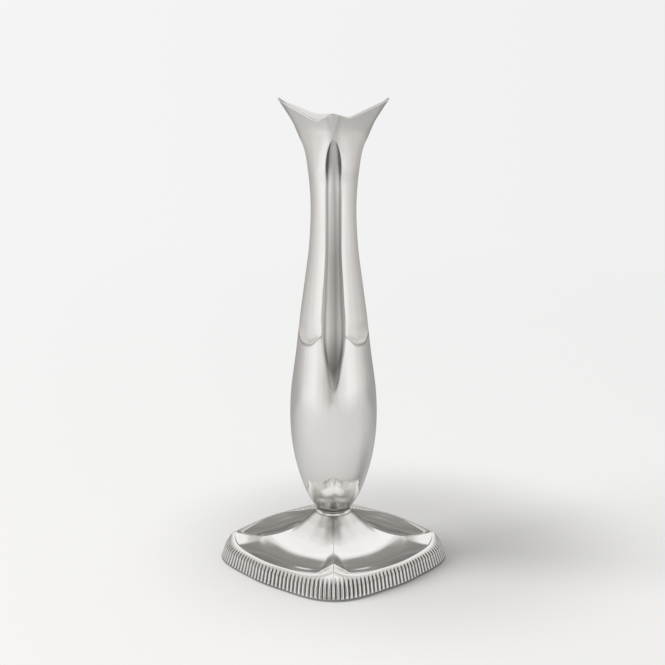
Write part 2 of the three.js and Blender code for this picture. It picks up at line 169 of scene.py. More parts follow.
def spun_blank(rows, columns, turn, place):
    """Ring with these rows on its front, top, back and bottom, spun and then shaped by place."""
    blank = bmesh.new()
    # Radii run from 1 to 2 and heights from 0 to 1 until the blank is shaped
    section = ((2, 0, 0), (2, 0, 1), (1, 0, 1), (1, 0, 0))
    corners = [blank.verts.new(corner) for corner in section]
    edges = [blank.edges.new((corners[i], corners[(i + 1) % 4])) for i in range(4)]
    for edge, count in zip(edges, rows):
        if count > 1:
            bmesh.ops.subdivide_edges(blank, edges=[edge], cuts=count - 1)
    whole = turn == FULL_TURN
    bmesh.ops.spin(
        blank, geom=blank.verts[:] + blank.edges[:], cent=(0, 0, 0), axis=(0, 0, 1), dvec=(0, 0, 0),
        angle=turn, steps=columns, use_merge=whole,
    )
    if not whole:
        open_edges = [edge for edge in blank.edges if edge.is_boundary]
        bmesh.ops.holes_fill(blank, edges=open_edges, sides=0)
    shape_blank(blank, columns, turn, place)
    return blank


print("walls of a blank:", BOTTOM + 1)

# %% Finished pieces
def object_from(name, shape):
    mesh = bpy.data.meshes.new(name)
    shape.to_mesh(mesh)
    shape.free()
    made = bpy.data.objects.new(name, mesh)
    scene.collection.objects.link(made)
    return made


def finish_piece(name, shape, slot, *nodes):
    """Makes an object of a bmesh, smooth and facing outwards, that stands for these CAD nodes."""
    bmesh.ops.recalc_face_normals(shape, faces=shape.faces[:])
    for face in shape.faces:
        face.smooth = True
    piece = object_from(name, shape)
    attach(piece, "root")
    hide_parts(*nodes)
    print(f"{name}: {sum(len(face.vertices) - 2 for face in piece.data.polygons)} triangles")
    return piece


print("shaping tools ready")

# %% [markdown]
# ## Body
# On the real vase two struck halves are soldered into one hollow body and polished until the seam is gone,
# so it is made here as one piece. It is a round shell with two kinds of cuts. Four broad panels are flatter
# than the shell, and their lower ends hang in a curve on the bulb. A hollow flute runs up each corner between
# them. At each height the surface is the lowest of shell, panel and flute. Near the top the shell turns
# square and flares into the mouth. The columns of the blank follow the edges of flutes and panels, and one
# row follows the line where both cut into the bulb, so that each edge of the metal is an edge of the mesh.

# %% Profiles of the body, in millimetres
ROUND_TOP = 190
shell_radius = curve_through([
    (26.5, 7.9), (31, 11.3), (39.5, 15.25), (52, 18.95), (64, 20.9), (77, 21.6), (89, 20.9), (104, 19.3),
    (114, 18.5), (120, 17.95), (126.5, 17.15), (133, 16.15), (140, 15.15), (150, 14), (159, 13), (169, 12.2),
    (178, 11.95), (190, 12.3), (197, 13), (203, 13.85), (207, 14.85), (211.5, 16.3), (215, 17.75),
    (219, 19.55), (223.5, 22.35), (230, 26.65),
])
shell_bend = curve_through([
    (190, -0.041), (203, -0.04), (207, -0.055), (211.5, -0.085), (215, -0.12), (219, -0.16), (223.5, -0.145),
    (230, -0.09),
])
panel_distance = curve_through([
    (108, 21.3), (113, 19.7), (116.5, 18.5), (118, 17.75), (119.5, 17.3), (121.5, 17.05), (126.5, 16.6),
    (133, 15.65), (140, 14.7), (150, 13.2), (159, 12.1), (169, 11.55), (178, 11.4), (190, 11.9), (197, 12.55),
    (203, 12.85), (207, 13), (215, 13.5), (219, 14.75), (223.5, 17), (230, 20.8),
])
panel_crown = curve_through([
    (114, 0.034), (126.5, 0.036), (140, 0.044), (159, 0.057), (178, 0.069), (190, 0.066), (197, 0.055),
    (203, 0.04), (207, 0.028), (215, 0.008), (219, 0.002), (223.5, 0),
])
flute_distance = curve_through([
    (88, 21.35), (92.3, 20.55), (96.6, 19.75), (102, 18.75), (109, 17.45), (114, 16.6), (120, 15.8),
    (126.5, 15.1), (133, 14.4), (140, 13.6), (150, 12.4), (159, 11.4), (169, 10.65), (178, 10.3),
    (190, 10.25), (197, 10.5), (201, 11), (205, 12.1), (208.5, 13.95), (211.7, 16.4), (214, 18.5),
])
flute_bend = curve_through([(165, 0.037), (178, 0.045), (185, 0.06), (190, 0.085), (197, 0.11), (208, 0.15)])
for profile in (shell_radius, panel_distance, flute_distance):
    print("from the axis at", ROUND_TOP, "mm:", profile(ROUND_TOP), "mm")

# %% Sections of the body
EDGE_ROUNDING = 0.22
FLUTE_TOP = 213
PANEL_HANG, HANG_END = 2.3, (118, 128)
HANG_ANGLES = math.radians(8), math.radians(27)


def bowed_line(off, middle, bend):
    """Radius of a line across a corner. A bend above 0 hollows it, a bend below 0 rounds it."""
    inside = math.cos(off) ** 2 - 4 * bend * middle * math.sin(off) ** 2
    return 2 * middle / (math.cos(off) + math.sqrt(max(0, inside)))


def flute_radius(off, height):
    return bowed_line(off, flute_distance(height), flute_bend(height))


def panel_radius(off, height):
    """Radius of a panel, an arc that is flatter than the round shell. Its lower end hangs in a curve."""
    from_middle = abs(EIGHTH_TURN - off)
    hang = PANEL_HANG * smooth_fall(height, *HANG_END)
    middle = panel_distance(height + hang * smooth_fall(from_middle, *HANG_ANGLES))
    crown = panel_crown(height) * middle
    ahead = (1 - crown) * math.cos(EIGHTH_TURN - off)
    return middle * (2 - crown) / (ahead + math.sqrt(ahead * ahead + crown * (2 - crown)))


def outer_radius(off, height):
    """Radius of the shell with its panels, before the flutes are cut."""
    panel = panel_radius(off, height)
    if height < ROUND_TOP:
        return soft_min(shell_radius(height), panel, EDGE_ROUNDING)
    bend = shell_bend(height)
    # Beyond this reach the rounded corner has turned into the side
    rounded_reach = -1 / (2 * bend)
    if panel * math.sin(off) > rounded_reach:
        return panel
    return min(panel, bowed_line(off, shell_radius(height), bend))


def body_radius(angle, height):
    off = from_corner(angle)
    outer = outer_radius(off, height)
    return soft_min(outer, flute_radius(off, height), EDGE_ROUNDING) if height < FLUTE_TOP else outer


print("middle of a panel at", ROUND_TOP, "mm:", round(body_radius(EIGHTH_TURN, ROUND_TOP), 2), "mm")

# %% Rim of the mouth
RIM_LOW = 221.05
RIM_TIP_RISE = 8.95
RIM_TIP_POWER = 1.7
FRONT_PEAK_RISE, BACK_PEAK_RISE = 2.65, 0.6
RIM_PEAK_POWER = 1.5
RIM_LOW_ANGLE = 66
RIM_TWIST = 0.9
RIM_ROUNDING = 0.35


def rim_height(angle):
    turned = angle % math.pi
    from_tip = math.degrees(min(turned, math.pi - turned))
    low = RIM_LOW - RIM_TWIST * math.sin(2 * angle)
    if from_tip < RIM_LOW_ANGLE:
        return low + RIM_TIP_RISE * (1 - from_tip / RIM_LOW_ANGLE) ** RIM_TIP_POWER
    peak = FRONT_PEAK_RISE if math.sin(angle) < 0 else BACK_PEAK_RISE
    return low + peak * ((from_tip - RIM_LOW_ANGLE) / (90 - RIM_LOW_ANGLE)) ** RIM_PEAK_POWER


print("rim in mm: tip", rim_height(0), "front peak", round(rim_height(-QUARTER_TURN), 2))

# %% Edges of the flutes and panels
VEE_TOP = 117
CUSP_HEIGHT = 119
ARCH_FOOT = 203
LEAST_GAP = math.radians(0.6)
HALVINGS = 40


def crossing(low, high, over):
    """Place between low and high up to which over(place) holds."""
    for _ in range(HALVINGS):
        middle = (low + high) / 2
        if over(middle):
            low = middle
        else:
            high = middle
    return low


def flute_half_angle(height):
    """Angle from the middle of a flute to its edge."""

    def in_flute(off):
        return flute_radius(off, height) < min(shell_radius(height), panel_radius(off, height))

    return crossing(0, EIGHTH_TURN, in_flute)


def panel_start_angle(height):
    """Angle from the middle of a flute to the edge of the panel beside it."""
    start = flute_edge(height) + LEAST_GAP
    return crossing(start, EIGHTH_TURN, lambda off: shell_radius(height) < panel_radius(off, height))


flute_edge = curve_through([(height, flute_half_angle(height)) for height in range(VEE_TOP, ARCH_FOOT + 1)])
panel_edge = curve_through([
    (height, panel_start_angle(height)) for height in range(CUSP_HEIGHT, ARCH_FOOT + 1)
])
print("edge of a flute at", ROUND_TOP, "mm:", round(math.degrees(flute_edge(ROUND_TOP)), 1), "degrees")

# %% Rows and columns of the body
FLUTE_COLUMNS, SHELL_COLUMNS, PANEL_COLUMNS = 12, 4, 10
PANEL_START = FLUTE_COLUMNS + SHELL_COLUMNS
CROWDING = 1.6
CORNER_COLUMNS = 2 * (PANEL_START + PANEL_COLUMNS)
BODY_COLUMNS = 4 * CORNER_COLUMNS
BODY_BOTTOM = 26.5
NECK_START, NECK_END = 140, 190
FLUTE_BOTTOM, PANEL_BOTTOM = 88, 110


def column_angle(column, height):
    corner, step = corner_and_step(column, CORNER_COLUMNS)
    count = abs(step)
    flute = flute_edge(height)
    if count <= FLUTE_COLUMNS:
        off = flute * count / FLUTE_COLUMNS
    elif count <= PANEL_START:
        off = flute + (panel_edge(height) - flute) * (count - FLUTE_COLUMNS) / SHELL_COLUMNS
    else:
        panel = panel_edge(height)
        off = panel + (EIGHTH_TURN - panel) * ((count - PANEL_START) / PANEL_COLUMNS) ** CROWDING
    return corner * QUARTER_TURN + math.copysign(off, step)


def foot_of_cut(count):
    """Height at which the flute or panel on this column leaves the bulb."""
    if FLUTE_COLUMNS < count < PANEL_START:
        return VEE_TOP + (CUSP_HEIGHT - VEE_TOP) * (count - FLUTE_COLUMNS) / SHELL_COLUMNS
    if count <= FLUTE_COLUMNS:
        low, high, cut_radius = FLUTE_BOTTOM, VEE_TOP, flute_radius
    else:
        low, high, cut_radius = PANEL_BOTTOM, CUSP_HEIGHT, panel_radius
    return crossing(low, high, lambda z: cut_radius(column_angle(count, z), z) > shell_radius(z))


def top_of_cut(count):
    """Height at which the flute on this column runs out under the mouth."""
    if count > FLUTE_COLUMNS:
        return ARCH_FOOT

    def in_flute(z):
        off = column_angle(count, z)
        return flute_radius(off, z) < outer_radius(off, z)

    return crossing(ARCH_FOOT, FLUTE_TOP, in_flute)


cut_feet = [foot_of_cut(count) for count in range(CORNER_COLUMNS // 2 + 1)]
cut_tops = [top_of_cut(count) for count in range(CORNER_COLUMNS // 2 + 1)]
print("flutes from", round(min(cut_feet), 1), "to", round(max(cut_tops), 1), "mm")
print("panels from", round(cut_feet[-1], 1), "mm")

# %% Spin and chase the body
STRETCH_ROWS = (56, 44, 28, 28, 34)
CROWDED_AT_TOP, CROWDED_AT_FOOT = (0, 3), (1,)
OUTSIDE_ROWS = sum(STRETCH_ROWS)
INSIDE_ROWS, INSIDE_MOUTH_ROWS, RIM_ROWS = 60, 14, 4
MOUTH_START = ARCH_FOOT
WALL = 1.2


def outside_point(column, row):
    """Angle and height of a point on the outside, in stretches that end on the edges of the cuts."""
    count = abs(corner_and_step(column, CORNER_COLUMNS)[1])
    rim = rim_height(column_angle(column, RIM_LOW)) - RIM_ROUNDING
    stops = (BODY_BOTTOM, cut_feet[count], NECK_START, NECK_END, cut_tops[count], rim)
    stretch = 0
    while row > STRETCH_ROWS[stretch]:
        row -= STRETCH_ROWS[stretch]
        stretch += 1
    share = row / STRETCH_ROWS[stretch]
    if stretch in CROWDED_AT_TOP:
        share = 1 - (1 - share) ** CROWDING
    elif stretch in CROWDED_AT_FOOT:
        share = share ** CROWDING
    height = stops[stretch] + (stops[stretch + 1] - stops[stretch]) * share
    return column_angle(column, height), height


def inside_point(column, row):
    if row <= INSIDE_MOUTH_ROWS:
        angle = column_angle(column, RIM_LOW)
        rim = rim_height(angle) - RIM_ROUNDING
        return angle, rim + (MOUTH_START - rim) * row / INSIDE_MOUTH_ROWS
    share = (row - INSIDE_MOUTH_ROWS) / (INSIDE_ROWS - INSIDE_MOUTH_ROWS)
    height = MOUTH_START - (MOUTH_START - BODY_BOTTOM) * share
    return column_angle(column, height), height


def body_place(column, wall, share):
    if wall == FRONT:
        angle, height = outside_point(column, round(share * OUTSIDE_ROWS))
        return body_radius(angle, height), height, angle
    if wall == TOP:
        angle, height = outside_point(column, OUTSIDE_ROWS)
        rise = RIM_ROUNDING * math.sin(math.pi * share)
        return body_radius(angle, height) - WALL * (1 - math.cos(math.pi * share)) / 2, height + rise, angle
    if wall == BACK:
        angle, height = inside_point(column, round(share * INSIDE_ROWS))
        return body_radius(angle, height) - WALL, height, angle
    return body_radius(0, BODY_BOTTOM) - WALL * (1 - share), BODY_BOTTOM, column_angle(column, BODY_BOTTOM)


body_blank = spun_blank((OUTSIDE_ROWS, RIM_ROWS, INSIDE_ROWS, 1), BODY_COLUMNS, FULL_TURN, body_place)
vase_body = finish_piece("vase_body", body_blank, "polished_silver", "body_front_half", "body_back_half")

# %% [markdown]
# ## Collar
# A small turned ring covers the joint between the bulb and the foot and catches a thin bright line of light.
# A few points of its profile are spun round the axis, and a bevel takes the sharpness off its turned edges.

# %% Turn the collar
COLLAR_PROFILE = (
    (6.7, 24.5), (8.85, 24.5), (9.1, 25.0), (8.8, 25.5), (8.0, 26.1), (7.85, 26.55), (6.9, 26.55),
)
COLLAR_STEPS = 96
COLLAR_BEVEL = 0.12
SAME_PLACE = 1e-7
collar = bmesh.new()
ring = [collar.verts.new((radius * MM, 0, height * MM)) for radius, height in COLLAR_PROFILE]
for i, point in enumerate(ring):
    collar.edges.new((point, ring[(i + 1) % len(ring)]))
bmesh.ops.spin(
    collar, geom=collar.verts[:] + collar.edges[:], cent=(0, 0, 0), axis=(0, 0, 1), dvec=(0, 0, 0),
    angle=FULL_TURN, steps=COLLAR_STEPS, use_merge=True,
)
hoops = [
    edge for edge in collar.edges
    if abs(edge.verts[0].co.z - edge.verts[1].co.z) < SAME_PLACE
    and abs(edge.verts[0].co.xy.length - edge.verts[1].co.xy.length) < SAME_PLACE
]
bmesh.ops.bevel(
    collar, geom=hoops, offset=COLLAR_BEVEL * MM, offset_type="OFFSET", affect="EDGES", segments=2,
    profile=0.5, material=-1, clamp_overlap=True,
)
vase_collar = finish_piece("vase_collar", collar, "polished_silver", "collar_ring")

# %% [markdown]
# ## Foot
# The top of the foot is one sheet with four scooped faces. They meet in hips that run from the collar to the
# corners. Each hip ends in a small pointed gable with a shallow pocket on either side of it. The sheet is a
# spun ring again: each point finds its height between the profile of a hip and the profile of the middle of
# a face. Columns crowd towards the hips, because the crease there is sharp.

# %% Profiles of the foot, in millimetres
CORNER_SHARPNESS = 1.69
HIP = (
    (49.7, 10.15), (48.4, 10.05), (43, 10.1), (37, 10.5), (30, 11.6), (24, 13.5),
    (19, 16), (14, 20.3), (11.5, 22.8), (9.2, 24.6),
)
FACE = (
    (45.3, 9.85), (44, 9.6), (41, 9), (36, 8.35), (27.5, 9.6), (22, 11.9),
    (17.5, 14.9), (13.5, 18.9), (11, 22.2), (9.2, 24.6),
)
GABLE_RIDGE = ((32, 10.95), (37, 10.65), (43, 11.3), (48.4, 12.5), (49.7, 12.95))


def outline_radius(angle, corner, side):
    """Radius of a cushion square with these radii at its corners and in the middle of its sides."""
    return side + (corner - side) * ((1 + math.cos(4 * angle)) / 2) ** CORNER_SHARPNESS


def lifted(off, corner, side, power):
    """Height between a corner and a side. A high power keeps the lift close to the corner."""
    return side + (corner - side) * (1 - off / EIGHTH_TURN) ** power


def curves_over_rows(profile):
    """The radius and the height of a profile as curves over the rows of its points."""
    return [curve_through([(row, point[part]) for row, point in enumerate(profile)]) for part in (0, 1)]


gable_ridge = curve_through(GABLE_RIDGE)
hip_radius, hip_height = curves_over_rows(HIP)
face_radius, face_height = curves_over_rows(FACE)
print("dish reaches", face_radius(0), "mm on a side and", hip_radius(0), "mm on a corner")

# %% Spin and scoop the foot
FACE_COLUMNS = 32
DISH_COLUMNS = 8 * FACE_COLUMNS
DISH_ROWS, DISH_UNDER_ROWS = 108, 24
HIP_CROWDING = 1.5
LAST_ROW = len(HIP) - 1
HIP_POWER, CORNER_POWER = 5, 2.6
POWER_RANGE, CRISP_RANGE = (20, 36), (15, 24)
POCKET_DROP, POCKET_START = 0.62, (34, 46)
POCKET_ANGLES = math.radians(20), math.radians(36)
GABLE_SLOPE, GABLE_ROUNDING = 0.34, 0.08
DISH_THICKNESS, DISH_HOLE = 0.9, 6.8


def dish_angle(column):
    corner, step = corner_and_step(column, 2 * FACE_COLUMNS)
    off = EIGHTH_TURN * (abs(step) / FACE_COLUMNS) ** HIP_CROWDING
    return corner * QUARTER_TURN + math.copysign(off, step)


def dish_surface(angle, row):
    off = from_corner(angle)
    radius = outline_radius(angle, hip_radius(row), face_radius(row))
    crisp = smooth_share(radius, *CRISP_RANGE)
    power = HIP_POWER + (CORNER_POWER - HIP_POWER) * smooth_share(radius, *POWER_RANGE)
    soft_height = outline_radius(angle, hip_height(row), face_height(row))
    height = soft_height + (lifted(off, hip_height(row), face_height(row), power) - soft_height) * crisp
    beside_corner = smooth_fall(off, *POCKET_ANGLES)
    height -= POCKET_DROP * beside_corner * smooth_share(radius, *POCKET_START)
    along, across = radius * math.cos(off), radius * math.sin(off)
    if along > GABLE_RIDGE[0][0]:
        gable = gable_ridge(along) - GABLE_SLOPE * across
        height = -soft_min(-height, -gable, GABLE_ROUNDING)
    return radius, height


def dish_place(column, wall, share):
    angle = dish_angle(column)
    if wall == FRONT:
        return (*dish_surface(angle, LAST_ROW * share), angle)
    if wall == TOP:
        return DISH_HOLE, HIP[-1][1] - DISH_THICKNESS * share, angle
    radius, height = dish_surface(angle, LAST_ROW * (1 - share))
    return (DISH_HOLE if share == 0 else radius), height - DISH_THICKNESS, angle


dish_blank = spun_blank((DISH_ROWS, 1, DISH_UNDER_ROWS, 1), DISH_COLUMNS, FULL_TURN, dish_place)
vase_foot = finish_piece("vase_foot", dish_blank, "polished_silver", "foot_dish")

# %% [markdown]
# ## Reeded border
# Four lengths of moulding run round the foot and meet at its corners. Each has a plain fillet at the bottom,
# stands upright for a few millimetres and then rolls over to a smooth crest. Its reeds draw together a little
# towards the corners. They fade out under the crest, and sooner beside the corners. A quarter spin makes one
# length, with eight columns to a reed, and the depth of the groove is taken off the outside. Modelled reeds,
# rather than a bump, keep their shadows and their outline from any side.

# %% Reeds of the border
REEDS_PER_SIDE = 36
REED_BUNCHING = 0.032
COLUMNS_PER_REED = 8
BORDER_COLUMNS = REEDS_PER_SIDE * COLUMNS_PER_REED
REED_DEPTH, REED_POWER, REED_FADE = 0.8, 2.4, 0.46
REED_ANGLES = math.radians(1.5), math.radians(8)


def reed_angle(share):
    """Angle at a share of one length. The reeds draw together a little towards the corners."""
    return QUARTER_TURN * share - REED_BUNCHING * math.sin(FULL_TURN * share)


def groove_depth(column):
    """Depth of a groove: none on the ridge of a reed, deep and narrow between two reeds."""
    across = column / COLUMNS_PER_REED
    from_ridge = abs(across - math.floor(across + 0.5))
    return REED_DEPTH * (2 * from_ridge) ** REED_POWER


def reeded_share(angle, rise):
    """Share of the reeds' depth on the roll. They run out sooner beside the corners."""
    beside_corner = smooth_share(from_corner(angle), *REED_ANGLES)
    return beside_corner + (1 - beside_corner) * smooth_fall(rise, 0, REED_FADE)


print("reeds on a side:", REEDS_PER_SIDE)

# %% Section of the border
FOOT_RADII, KINK_RADII, CREST_RADII = (56.9, 49.8), (54.8, 48.4), (50.2, 45.8)
CREST_HEIGHTS, CREST_LIFT_POWER = (13.2, 9.95), 6
CREST_WIDTH, CREST_DROP = 0.5, 0.08
CREST_THICKNESS, CREST_INSET = 1.3, 0.3
BORDER_BOTTOM, BORDER_KINK, BORDER_THICKNESS = 0.5, 7.1, 1.5
FILLET_TOP, FILLET_LEDGE = 1.05, 0.15
ROLL_FULLNESS = 0.3
FILLET_ROWS, UPRIGHT_ROWS, ROLL_ROWS, CREST_ROWS = 2, 4, 16, 4
BORDER_ROWS = FILLET_ROWS + UPRIGHT_ROWS + ROLL_ROWS + CREST_ROWS
BORDER_BACK_ROWS = 8


def roll_point(start, end, share):
    """Point on the roll from the kink to the crest, and the slope of the metal there."""
    rest = 1 - share
    bulge = end[0] + ROLL_FULLNESS * (start[0] - end[0])
    radius = rest * rest * start[0] + 2 * rest * share * bulge + share * share * end[0]
    inwards = rest * (start[0] - bulge) + share * (bulge - end[0])
    upwards = rest * (end[1] - start[1])
    return radius, end[1] + rest * rest * (start[1] - end[1]), math.atan2(inwards, upwards)


def crest_point(angle):
    height = lifted(from_corner(angle), *CREST_HEIGHTS, CREST_LIFT_POWER)
    return outline_radius(angle, *CREST_RADII), height


def border_front(angle, column, row):
    foot = outline_radius(angle, *FOOT_RADII)
    kink = outline_radius(angle, *KINK_RADII), BORDER_KINK
    crest = crest_point(angle)
    depth = groove_depth(column)
    if row < FILLET_ROWS:
        return foot, BORDER_BOTTOM + (FILLET_TOP - BORDER_BOTTOM) * row / (FILLET_ROWS - 1)
    row -= FILLET_ROWS
    if row <= UPRIGHT_ROWS:
        share = row / UPRIGHT_ROWS
        start = FILLET_TOP + FILLET_LEDGE
        return foot + (kink[0] - foot) * share - depth, start + (BORDER_KINK - start) * share
    row -= UPRIGHT_ROWS
    if row <= ROLL_ROWS:
        share = row / ROLL_ROWS
        radius, height, slope = roll_point(kink, crest, share)
        cut = depth * max(0, 1 - (share / REED_FADE) ** 2) * reeded_share(angle, share)
        return radius - cut * math.cos(slope), height - cut * math.sin(slope)
    share = (row - ROLL_ROWS) / CREST_ROWS
    return crest[0] - CREST_WIDTH * share, crest[1] - CREST_DROP * share


def border_back(angle, share):
    foot = outline_radius(angle, *FOOT_RADII) - BORDER_THICKNESS
    kink = outline_radius(angle, *KINK_RADII) - BORDER_THICKNESS, BORDER_KINK - CREST_DROP
    crest = crest_point(angle)
    if share == 0:
        return crest[0] - CREST_WIDTH, crest[1] - CREST_DROP - CREST_THICKNESS
    if share == 1:
        return foot, BORDER_BOTTOM
    up = max(0, 1 - share * BORDER_BACK_ROWS / (BORDER_BACK_ROWS - 1))
    return roll_point(kink, (crest[0] - CREST_INSET, crest[1] - CREST_THICKNESS), up)[:2]


print("crest on a corner in mm:", crest_point(0))

# %% Spin the border
def border_placer(first_angle):
    def place(column, wall, share):
        angle = first_angle + reed_angle(column / BORDER_COLUMNS)
        if wall == FRONT:
            return (*border_front(angle, column, round(share * BORDER_ROWS)), angle)
        return (*border_back(angle, share), angle)

    return place


border_lengths = []
for i, place_name in enumerate(("back_right", "back_left", "front_left", "front_right")):
    border_place = border_placer(i * QUARTER_TURN)
    border_rows = (BORDER_ROWS, 1, BORDER_BACK_ROWS, 1)
    border_blank = spun_blank(border_rows, BORDER_COLUMNS, QUARTER_TURN, border_place)
    border_lengths.append(
        finish_piece(f"reeding_{place_name}", border_blank, "polished_silver", f"border_{place_name}")
    )

# %% [markdown]
# ## Felt
# A sheet of felt under the foot keeps the metal off the table. It is cut to the outline of the foot.

# %% Cut the felt
FELT_THICKNESS = 0.9
FELT_INSET = 2.9
FELT_STEPS = 192
felt = bmesh.new()
bmesh.ops.create_circle(felt, cap_ends=True, radius=1, segments=FELT_STEPS)
for point in felt.verts:
    angle = math.atan2(point.co.y, point.co.x)
    reach = (outline_radius(angle, *FOOT_RADII) - FELT_INSET) * MM
    point.co = (reach * math.cos(angle), reach * math.sin(angle), 0)
felt_area = sum(face.calc_area() for face in felt.faces)
lifted_felt = bmesh.ops.extrude_face_region(felt, geom=felt.faces[:])
felt_top = [point for point in lifted_felt["geom"] if isinstance(point, bmesh.types.BMVert)]
bmesh.ops.translate(felt, verts=felt_top, vec=(0, 0, FELT_THICKNESS * MM))
vase_felt = finish_piece("vase_felt", felt, "dark_felt", "felt_pad")

# %% [markdown]
# ## Where tarnish and painted shade gather
# A cloth polishes what stands proud and never reaches the bottom of a groove, so silver darkens there. Fine
# dark lines between the reeds, at the closed ends of the flutes and in the joints round the collar are partly
# such tarnish and partly painted shade. Under the ends of the panels, on the underside of the bulb and beside
# the hips of the foot the darkening is painted shade, along the corners of the mouth it is a painted dark
# reflection, and along the bottom fillet of the border it is a painted contact shadow. Each piece gets an
# attribute that says how dark each of its points is. A painted picture could do this too, but an attribute is
# worked out from the same shape as the metal.

# %% Tarnish and painted shade on the body
# Flutes, arches, vees and arrises: partly tarnish in the hollows, partly painted shade and painted dark
# reflections
FLUTE_SHADE, FLUTE_DEPTH = 0.16, (0.05, 0.75)
ARCH_SHADE, ARCH_START = 0.55, (188, 201)
ARCH_EASING, ARCH_END = 0.2, (203, 209)
ARCH_MIDDLE, ARCH_SIDES = 0.55, (0.2, 0.7)
VEE_SHADE, VEE_END = 0.62, (100, 120)
ARRIS_SHADE, ARRIS_START, ARRIS_END = 0.5, (0.55, 0.8), (0.88, 1)
# Lip: painted shade under the lower ends of the panels
LIP_SHADE, LIP_START, LIP_END, LIP_FADE = 0.5, (0, 0.15), (0.3, 0.6), 1
# Crease: a painted dark reflection along the corners of the mouth
CREASE_SHADE, CREASE_ANGLE, CREASE_START = 0.34, math.radians(14), (203, 210)
# Waist: painted shade on the underside of the bulb
WAIST_SHADE, WAIST_END = 0.6, (31, 42)


def edge_of_columns(heights):
    """Angle of the edge of a flute at each height on its columns, from its middle outwards."""
    return [(height, column_angle(count, height)) for count, height in enumerate(heights[:FLUTE_COLUMNS + 1])]


flute_reach = curve_through(
    edge_of_columns(cut_feet) + [(height, flute_edge(height)) for height in range(VEE_TOP + 1, ARCH_FOOT)]
    + edge_of_columns(cut_tops)[::-1]
)


# Tarnish and painted shade on the body, from 0 for bright to 1 for dark
def body_tarnish_and_shade(radius, height, angle):
    off = from_corner(angle)
    if height < cut_feet[0]:
        return WAIST_SHADE * smooth_fall(height, *WAIST_END)
    crease = CREASE_SHADE * smooth_fall(off, 0, CREASE_ANGLE) * smooth_share(height, *CREASE_START)
    if height > FLUTE_TOP:
        return crease
    depth = smooth_share(outer_radius(off, height) - flute_radius(off, height), *FLUTE_DEPTH)
    across = min(1, off / max(LEAST_GAP, flute_reach(height)))
    eased = 1 - ARCH_EASING * smooth_share(height, *ARCH_END)
    sides = ARCH_MIDDLE + (1 - ARCH_MIDDLE) * smooth_share(across, *ARCH_SIDES)
    arch = ARCH_SHADE * smooth_share(height, *ARCH_START) * eased * sides
    vee = VEE_SHADE * smooth_fall(height, *VEE_END)
    arris = ARRIS_SHADE * smooth_share(across, *ARRIS_START) * smooth_fall(across, *ARRIS_END)
    below_panel = panel_radius(off, height) - shell_radius(height)
    lip = LIP_SHADE * smooth_share(below_panel, *LIP_START) * smooth_fall(below_panel, *LIP_END)
    lip *= smooth_fall(height, CUSP_HEIGHT - LIP_FADE, CUSP_HEIGHT)
    return max(depth * (FLUTE_SHADE + arch + vee) + arris, lip, crease)


print("tarnish in the middle of an arch:", round(body_tarnish_and_shade(0, ARCH_FOOT, 0), 2))

# %% Mark the tarnish and the painted shade
# Joints round the collar: partly tarnish in the joint, partly painted shade between the parts
JOINT_SHADE, COLLAR_JOINT, FOOT_JOINT = 0.8, (25.6, 26.2), (8.8, 9.6)
# Hips: painted shade beside the hips of the foot, near the collar
HIP_SHADE, HIP_REACH, HIP_WIDTH = 0.65, (13, 21), (1.5, 5)
# Fillet: a painted contact shadow along the bottom of the border
FILLET_SHADE = 0.75
# Grooves between the reeds: partly tarnish, partly painted shade
GROOVE_START, GROOVE_END = (0.05, 0.5), (0.36, 0.7)


def collar_tarnish_and_shade(radius, height, angle):
    return JOINT_SHADE * smooth_share(height, *COLLAR_JOINT)


def foot_tarnish_and_shade(radius, height, angle):
    hip = HIP_SHADE * smooth_fall(radius, *HIP_REACH) * smooth_fall(radius * from_corner(angle), *HIP_WIDTH)
    return max(hip, JOINT_SHADE * smooth_fall(radius, *FOOT_JOINT))


def reed_tarnish_and_shade(radius, height, angle):
    turned = angle % QUARTER_TURN
    column = BORDER_COLUMNS * crossing(0, 1, lambda share: reed_angle(share) < turned)
    rise = (height - BORDER_KINK) / (crest_point(angle)[1] - BORDER_KINK)
    # The bottom fillet gets a painted contact shadow
    if height < FILLET_TOP + FILLET_LEDGE / 2:
        return FILLET_SHADE
    groove = smooth_share(groove_depth(column) / REED_DEPTH, *GROOVE_START) * smooth_fall(rise, *GROOVE_END)
    return groove * reeded_share(angle, rise)


def mark_tarnish_and_shade(piece, amount):
    """Gives each point amount(radius, height, angle) of tarnish and painted shade, from 0 for bright to 1 for
    dark.
    """
    marks = piece.data.attributes.new("tarnish_and_shade", "FLOAT", "POINT")
    for i, point in enumerate(piece.data.vertices):
        x, y, z = point.co / MM
        marks.data[i].value = min(1, max(0, amount(math.hypot(x, y), z, math.atan2(y, x))))


mark_tarnish_and_shade(vase_body, body_tarnish_and_shade)
mark_tarnish_and_shade(vase_collar, collar_tarnish_and_shade)
mark_tarnish_and_shade(vase_foot, foot_tarnish_and_shade)
for length in border_lengths:
    mark_tarnish_and_shade(length, reed_tarnish_and_shade)
silver_pieces = (vase_body, vase_collar, vase_foot, *border_lengths)
print("tarnish marked on", len(silver_pieces), "pieces")

# %% [markdown]
# ## Tools for finishes
# Materials here are small networks of nodes. A few short functions add a node, do a sum with two values, and
# blend between two tones, so that each finish below reads as a recipe.

# %% Node tools
MIX_FIRST, MIX_SECOND, MIX_RESULT = 6, 7, 2


def add_node(tree, kind, **settings):
    node = tree.nodes.new(kind)
    for name, value in settings.items():
        setattr(node, name, value)
    return node


def feed(tree, value, socket):
    """Sets a socket to a number or a colour, or links another node's output to it."""
    if isinstance(value, bpy.types.NodeSocket):
        tree.links.new(value, socket)
    else:
        socket.default_value = value


def feed_named(tree, node, values):
    for name, value in values.items():
        feed(tree, value, node.inputs[name])


